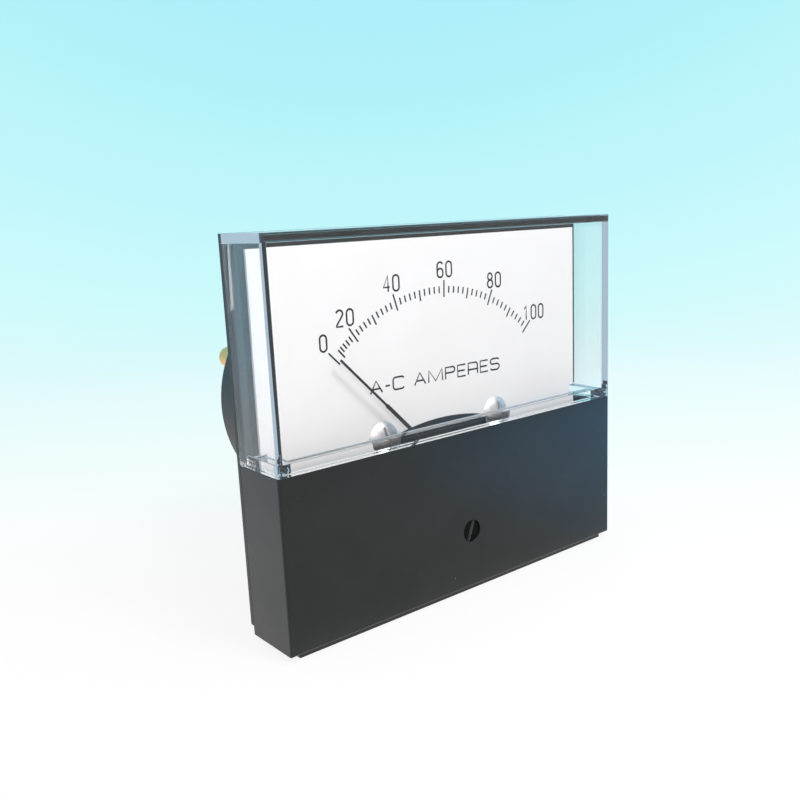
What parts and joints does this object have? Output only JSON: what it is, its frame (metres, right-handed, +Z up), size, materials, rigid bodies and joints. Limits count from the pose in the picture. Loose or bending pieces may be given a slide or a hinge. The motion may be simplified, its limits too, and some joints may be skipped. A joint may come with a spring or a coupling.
{
  "type": "analog panel meter",
  "caption": "Rectangular moving-iron panel ammeter: a clear window cover over a black lower cover, an arc scale with a knife pointer, and a round barrel with stud terminals behind.",
  "frame": {"origin": "centre of the four mounting studs, on the barrel's axis, in the flange's panel face", "axes": "+Y along the barrel, backwards through the panel; +Z up the dial; +X to the dial's right"},
  "size_m": [0.117, 0.0855, 0.0991],
  "materials": {
    "black_phenolic": "satin",
    "black_cover": "gloss",
    "clear_acrylic": "gloss",
    "dial_white": "matte",
    "ink_black": "matte",
    "black_frame": "matte",
    "black_screw": "satin",
    "bobbin_cream": "satin",
    "plated_steel": "satin",
    "nickel_plate": "gloss",
    "ground_steel": "gloss",
    "soft_iron": "matte",
    "brass_sheet": "satin",
    "turned_brass": "gloss",
    "terminal_brass": "satin",
    "spring_bronze": "satin",
    "copper_strap": "satin",
    "pointer_black": "matte",
    "cast_aluminium": "matte",
    "aluminium_foil": "satin"
  },
  "bodies": {
    "meter": {"base": "black_phenolic", "mounting_studs": "plated_steel", "window_cover": "clear_acrylic", "lower_cover": "black_cover", "cover_screws": "plated_steel", "dial_plate": "dial_white", "scale_marks": "ink_black", "dial_screws": "nickel_plate", "movement_frame": "black_frame", "movement_screws": "plated_steel", "front_bridge": "brass_sheet", "bridge_screws": "plated_steel", "front_jewel_screw": "turned_brass", "front_lock_nut": "turned_brass", "coil_bobbin": "bobbin_cream", "current_coil": "copper_strap", "lead_straps": "copper_strap", "fixed_vane": "soft_iron", "damping_chamber": "cast_aluminium", "damping_cover": "cast_aluminium", "damper_screws": "plated_steel", "rear_jewel_screw": "turned_brass", "rear_lock_nut": "turned_brass", "terminal_studs": "terminal_brass", "terminal_washers": "terminal_brass", "terminal_nuts": "terminal_brass"},
    "pointer_unit": {"staff": "ground_steel", "pointer": "pointer_black", "balance_cross": "turned_brass", "balance_weights": "turned_brass", "moving_vane": "soft_iron", "damping_paddle": "aluminium_foil", "hairspring_collet": "turned_brass"},
    "zero_screw": {"zero_adjust_screw": "black_screw"},
    "zero_arm": {"zero_lever": "spring_bronze", "hairspring": "spring_bronze"}
  },
  "joints": [
    {"name": "pointer_swing", "type": "hinge", "parent": "meter", "child": "pointer_unit", "pos_m": [0, 0, -0.0142], "axis": [0, 1, 0], "range_deg": [-3, 92], "stiffness_Nm_per_rad": 0.00002},
    {"name": "zero_screw_turn", "type": "hinge", "parent": "meter", "child": "zero_screw", "pos_m": [0, 0, -0.0303], "axis": [0, 1, 0], "range_deg": [-35, 35]},
    {"name": "zero_lever_turn", "type": "hinge", "parent": "meter", "child": "zero_arm", "pos_m": [0, 0, -0.0142], "axis": [0, 1, 0], "range_deg": [-2.5, 2.5]}
  ],
  "couplings": [
    {"joint": "zero_lever_turn", "follows": "zero_screw_turn", "ratio": 0.06936}
  ]
}
